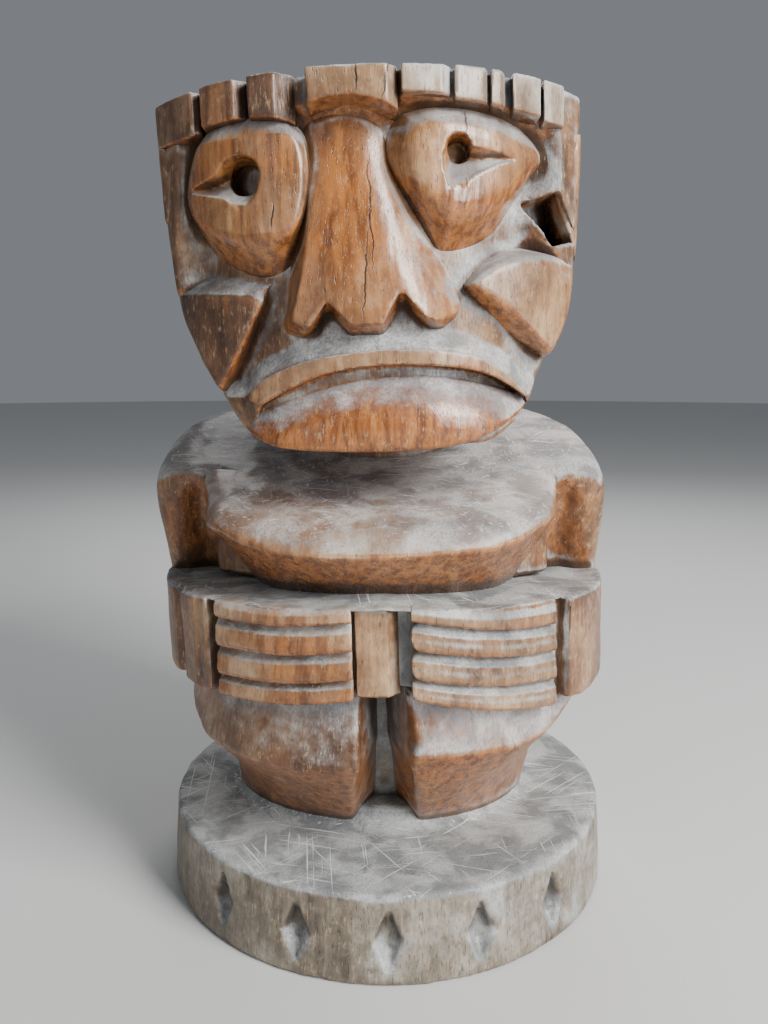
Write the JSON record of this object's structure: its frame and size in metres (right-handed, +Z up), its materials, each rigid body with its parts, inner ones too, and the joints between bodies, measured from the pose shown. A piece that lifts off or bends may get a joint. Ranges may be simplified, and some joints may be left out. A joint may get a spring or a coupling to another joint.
{
  "type": "carved timber tiki figure",
  "caption": "Squat crouching tiki figure carved from one log, with a large frowning head, hands across the belly and a round plinth.",
  "frame": {"origin": "middle of the plinth's underside, at the middle of the whole figure's outline", "axes": "+Z up, the figure faces -Y, +X to the right when seen from the front"},
  "size_m": [0.2076, 0.204, 0.3316],
  "materials": {
    "weathered_timber": "dry brown hardwood with worn grey-white lime in its pores and hollows",
    "rubbed_timber": "orange-brown hardwood polished by handling, with tan grain dashes and traces of lime",
    "limed_timber": "end grain filled with grey-white lime, scored by pale straight tool scratches"
  },
  "bodies": {
    "root": {"back": "weathered_timber", "back_of_head": "weathered_timber", "band_back_1": "weathered_timber", "band_back_2": "weathered_timber", "band_back_3": "weathered_timber", "band_back_4": "weathered_timber", "band_back_5": "weathered_timber", "band_back_6": "weathered_timber", "band_back_7": "weathered_timber", "band_back_8": "weathered_timber", "band_centre": "weathered_timber", "band_left_1": "weathered_timber", "band_left_2": "weathered_timber", "band_left_3": "weathered_timber", "band_right_1": "weathered_timber", "band_right_2": "weathered_timber", "band_right_3": "weathered_timber", "band_right_4": "weathered_timber", "band_right_5": "weathered_timber", "cheek_left": "weathered_timber", "cheek_right": "rubbed_timber", "chest": "rubbed_timber", "eye_left": "rubbed_timber", "eye_right": "rubbed_timber", "forearm_left": "weathered_timber", "forearm_right": "weathered_timber", "hand_left_finger_1": "rubbed_timber", "hand_left_finger_2": "rubbed_timber", "hand_left_finger_3": "rubbed_timber", "hand_left_finger_4": "rubbed_timber", "hand_right_finger_1": "rubbed_timber", "hand_right_finger_2": "rubbed_timber", "hand_right_finger_3": "rubbed_timber", "hand_right_finger_4": "rubbed_timber", "haunch_left": "weathered_timber", "haunch_right": "weathered_timber", "hip_core": "weathered_timber", "leg_left": "weathered_timber", "leg_right": "rubbed_timber", "loin_panel": "rubbed_timber", "lower_lip": "rubbed_timber", "neck": "weathered_timber", "nose": "rubbed_timber", "plinth": "limed_timber", "skull": "weathered_timber", "temple_left": "weathered_timber", "temple_right": "weathered_timber", "torso_core": "limed_timber", "upper_arm_left": "weathered_timber", "upper_arm_right": "weathered_timber", "upper_lip": "rubbed_timber", "waist_back": "weathered_timber", "waist_core": "limed_timber"}
  },
  "joints": []
}
